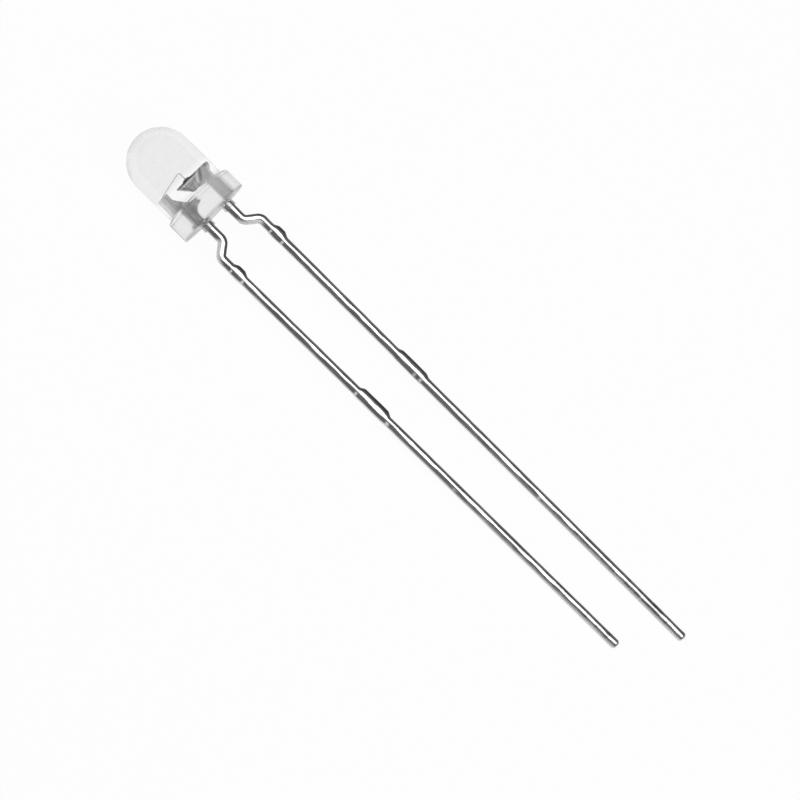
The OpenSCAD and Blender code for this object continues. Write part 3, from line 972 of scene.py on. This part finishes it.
def studio_world():
    """A dim plain studio, shown as white to the camera and lighter to what is inside the resin."""
    world = bpy.data.worlds.new("studio")
    bpy.context.scene.world = world
    world.use_nodes = True
    paint = Paint(world.node_tree)
    dim = paint.node("ShaderNodeBackground", {}, {"Color": grey(STUDIO_DIM), "Strength": 1.0})
    white = paint.node("ShaderNodeBackground", {}, {"Color": grey(1.0), "Strength": 1.0})
    camera = paint.node("ShaderNodeLightPath", output="Is Camera Ray")
    through = paint.node("ShaderNodeLightPath", output="Is Transmission Ray")
    shown = camera.most(through * STUDIO_THROUGH)
    mixed = paint.node("ShaderNodeMixShader", {}, {0: shown, 1: dim, 2: white})
    paint.node("ShaderNodeOutputWorld", {}, {"Surface": mixed})


def softbox(name, x, reach, lean_y, length, width, power):
    """A long soft lamp over the diode at x, leaning from straight above by degrees towards +Y."""
    lamp = bpy.data.lights.new(name, "AREA")
    lamp.shape = "RECTANGLE"
    lamp.size = length
    lamp.size_y = width
    lamp.energy = power
    holder = bpy.data.objects.new(name, lamp)
    turn = Matrix.Rotation(math.radians(-lean_y), 4, "X")
    holder.matrix_world = Matrix.Translation((x, 0, 0)) @ turn @ Matrix.Translation((0, 0, reach))
    bpy.context.scene.collection.objects.link(holder)
    return holder


def keep_off(lamp, piece):
    """Leaves the lamp's mirror image out of a clear piece, which it would cross as a hard-edged strip."""
    spared = bpy.data.collections.new(lamp.name + "_spares")
    spared.objects.link(piece)
    spared.collection_objects[0].light_linking.link_state = "EXCLUDE"
    lamp.light_linking.receiver_collection = spared


def floor():
    """A plain sheet under the diode."""
    made = bmesh.new()
    reach = 1.5
    corners = [(-reach, -reach, 0), (reach, -reach, 0), (reach, reach, 0), (-reach, reach, 0)]
    made.faces.new([made.verts.new(p) for p in corners])
    sheet = mesh_object("floor_sheet", made)
    sheet.data.materials.append(floor_material())


# Places in the 800 x 800 photograph that the camera is set by
PHOTO_SIZE = 800
PHOTO_BOTTOM_CENTRE = (213.7, 214.1)
PHOTO_LONG_TIP = (683.4, 638.9)
VIEW_LEAN_Y = -5.0
LENS_MM = 200.0
SENSOR_MM = 36.0
FIRST_ROLL = math.radians(45)
FIRST_REACH = 0.2
FIT_ROUNDS = 30
FIT_SHARE = 0.9


def photo_camera():
    """Looks down as in the photograph: the casting's bottom and the long tip fall where they do there."""
    made = bpy.data.cameras.new("photo_camera")
    made.lens = LENS_MM
    made.sensor_width = SENSOR_MM
    made.clip_start = 0.01
    made.clip_end = 10
    camera = bpy.data.objects.new("photo_camera", made)
    bpy.context.scene.collection.objects.link(camera)
    bpy.context.scene.camera = camera
    marks = [placed(0, 0, 0), placed(LONG_L, LONG_Y_OUT, 0)]
    places = (PHOTO_BOTTOM_CENTRE, PHOTO_LONG_TIP)
    wanted = [Vector((x - PHOTO_SIZE / 2, PHOTO_SIZE / 2 - y)) for x, y in places]
    focal = LENS_MM / SENSOR_MM * PHOTO_SIZE
    lean = Matrix.Rotation(math.radians(-VIEW_LEAN_Y), 4, "X")
    roll, reach, shift = FIRST_ROLL, FIRST_REACH, Vector((0, 0))
    for _ in range(FIT_ROUNDS):
        turn = REST.to_3x3().to_4x4() @ lean @ Matrix.Rotation(roll, 4, "Z")
        pose = turn @ Matrix.Translation((shift.x, shift.y, reach))
        seen = []
        for mark in marks:
            local = pose.inverted() @ mark
            seen.append(Vector((local.x, local.y)) * focal / -local.z)
        span, goal = seen[1] - seen[0], wanted[1] - wanted[0]
        roll -= math.atan2(span.x * goal.y - span.y * goal.x, span.dot(goal))
        reach *= 1 + (span.length / goal.length - 1) * FIT_SHARE
        shift += ((seen[0] + seen[1]) - (wanted[0] + wanted[1])) / 2 * reach / focal * FIT_SHARE
    camera.matrix_world = pose


# Putting it together

def dress(piece, node, slot_name, *materials):
    """Hangs a piece on the body, in place of its solid, with its materials."""
    for material in materials:
        piece.data.materials.append(material)
    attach(piece, "root")
    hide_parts(node)


tin = tinned_lead()
wire_metal = silver_wire()
resin_casting = casting()
dress(resin_casting, "lens", "clear_resin", clear_resin())
dress(cup_lead(), "cup_lead", "tinned_lead", tin)
dress(post_lead(), "post_lead", "tinned_lead", tin)
dress(led_chip(), "led_chip", "semiconductor", chip_material(), wire_metal)
dress(bond_wire(), "bond_wire", "silver_wire", wire_metal)
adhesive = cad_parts["die_attach"]
adhesive.data.materials.clear()
adhesive.data.materials.append(silver_adhesive())

studio_world()
floor()
key = softbox("key_softbox", x=0.0, reach=0.13, lean_y=2.5, length=0.32, width=0.048, power=0.157)
keep_off(key, resin_casting)
softbox("fill_softbox", x=0.055, reach=0.15, lean_y=-50, length=0.07, width=0.1, power=0.006)
photo_camera()
bpy.context.scene.view_settings.view_transform = "Standard"
